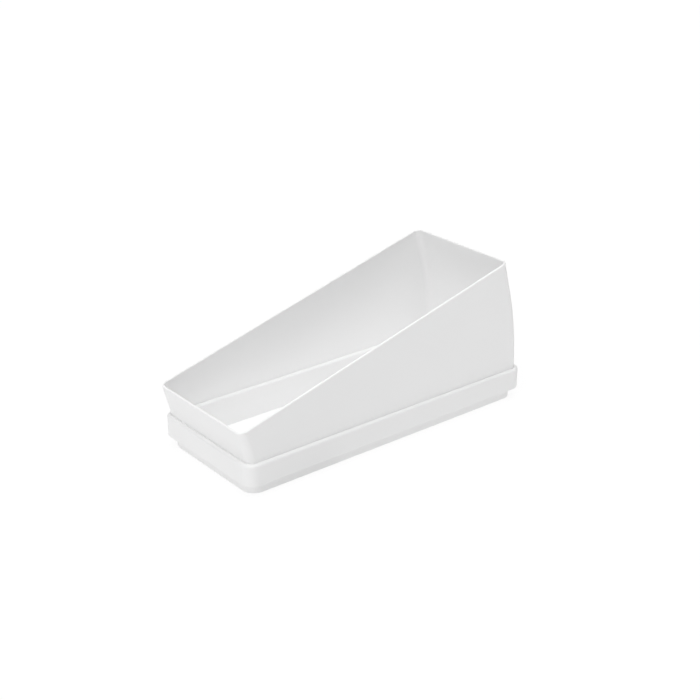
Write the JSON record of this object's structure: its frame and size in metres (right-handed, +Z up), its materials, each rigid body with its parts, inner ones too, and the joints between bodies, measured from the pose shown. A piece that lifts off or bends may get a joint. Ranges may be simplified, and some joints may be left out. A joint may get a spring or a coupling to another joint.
{
  "type": "flat duct bend",
  "caption": "Shallow fifteen degree vertical bend for flat rectangular ventilation duct, with a socket mouth above and a spigot on a grooved connector ring below.",
  "frame": {"origin": "centre of the duct's section at the lower edge of the spigot, on the surface that the part stands on", "axes": "+X along the long side of the section towards the tall end of the bend, +Y across it, +Z up out of the spigot"},
  "size_m": [0.2302, 0.0946, 0.1005],
  "materials": {
    "shell_plastic": "moulded white ABS, satin",
    "ring_plastic": "moulded white ABS, satin",
    "seal_rubber": "matt grey elastomer"
  },
  "bodies": {
    "ring": {"connector_ring": "ring_plastic", "groove_seal": "seal_rubber"},
    "shell": {"bend_shell": "shell_plastic"}
  },
  "joints": [
    {"name": "shell_pull", "type": "slide", "parent": "ring", "child": "shell", "axis": [0, 0, 1], "range_m": [0, 0.012]}
  ]
}
